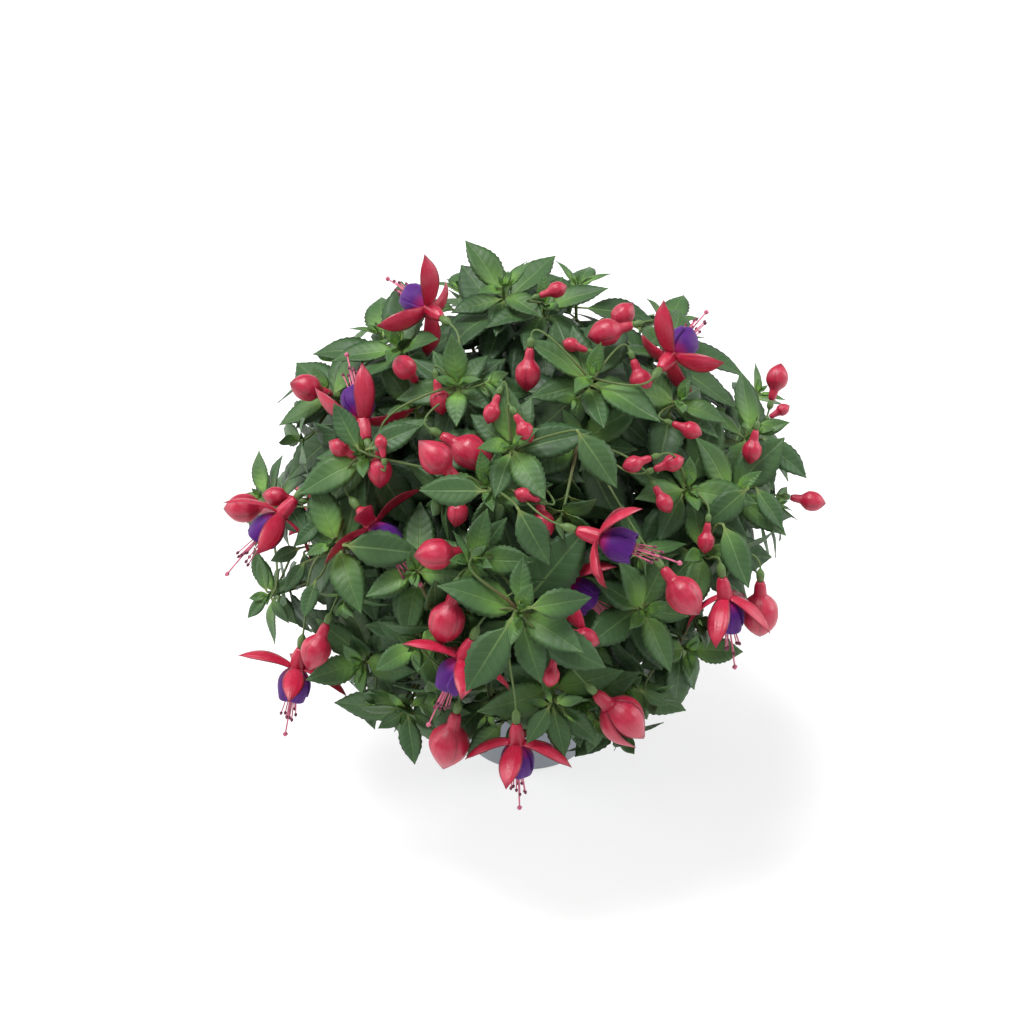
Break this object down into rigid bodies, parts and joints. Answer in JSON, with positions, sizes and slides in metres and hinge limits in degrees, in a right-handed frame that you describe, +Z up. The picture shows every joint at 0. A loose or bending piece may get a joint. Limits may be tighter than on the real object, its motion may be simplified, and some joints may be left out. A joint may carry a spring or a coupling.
{
  "type": "potted fuchsia",
  "caption": "Bushy fuchsia with leafy arching stems, nodding red and violet blooms and plump red buds, in a plain grey nursery pot that stands on its flat foot.",
  "frame": {"origin": "middle of the pot's foot, on the ground", "axes": "+Z up the pot's axis, -Y towards the front of the plant as pictured, +X to the right seen from the front"},
  "size_m": [0.3143, 0.3626, 0.3167],
  "materials": {
    "pot": "smooth satin grey plastic",
    "soil": "damp crumbly peat compost",
    "foliage": "satin green leaves on reddish woody stems",
    "red_petal": "waxy satin red sepals, tubes and filaments",
    "violet_petal": "velvety violet petals"
  },
  "bodies": {
    "root": {"pot": "pot", "soil": "soil", "stem_crown": "foliage", "stem_crown_left": "foliage", "stem_crown_front": "foliage", "stem_crown_right": "foliage", "stem_left": "foliage", "stem_left_low": "foliage", "stem_front_left": "foliage", "stem_front": "foliage", "stem_front_right": "foliage", "stem_right": "foliage", "stem_back_1": "foliage", "stem_back_2": "foliage", "stem_back_3": "foliage", "stem_back_4": "foliage", "bloom_01_calyx": "red_petal", "bloom_01_corolla": "violet_petal", "bloom_02_calyx": "red_petal", "bloom_02_corolla": "violet_petal", "bloom_03_calyx": "red_petal", "bloom_03_corolla": "violet_petal", "bloom_04_calyx": "red_petal", "bloom_04_corolla": "violet_petal", "bloom_05_calyx": "red_petal", "bloom_05_corolla": "violet_petal", "bloom_06_calyx": "red_petal", "bloom_06_corolla": "violet_petal", "bloom_07_calyx": "red_petal", "bloom_07_corolla": "violet_petal", "bloom_08_calyx": "red_petal", "bloom_08_corolla": "violet_petal", "bloom_09_calyx": "red_petal", "bloom_09_corolla": "violet_petal", "bloom_10_calyx": "red_petal", "bloom_10_corolla": "violet_petal", "bloom_11_calyx": "red_petal", "bloom_11_corolla": "violet_petal", "bloom_12_calyx": "red_petal", "bloom_12_corolla": "violet_petal", "bloom_13_calyx": "red_petal", "bloom_13_corolla": "violet_petal", "bloom_14_calyx": "red_petal", "bloom_14_corolla": "violet_petal", "bud_01": "red_petal", "bud_02": "red_petal", "bud_03": "red_petal", "bud_04": "red_petal", "bud_05": "red_petal", "bud_06": "red_petal", "bud_07": "red_petal", "bud_08": "red_petal", "bud_09": "red_petal", "bud_10": "red_petal", "bud_11": "red_petal", "bud_12": "red_petal", "bud_13": "red_petal", "bud_14": "red_petal", "bud_15": "red_petal", "bud_16": "red_petal"}
  },
  "joints": []
}
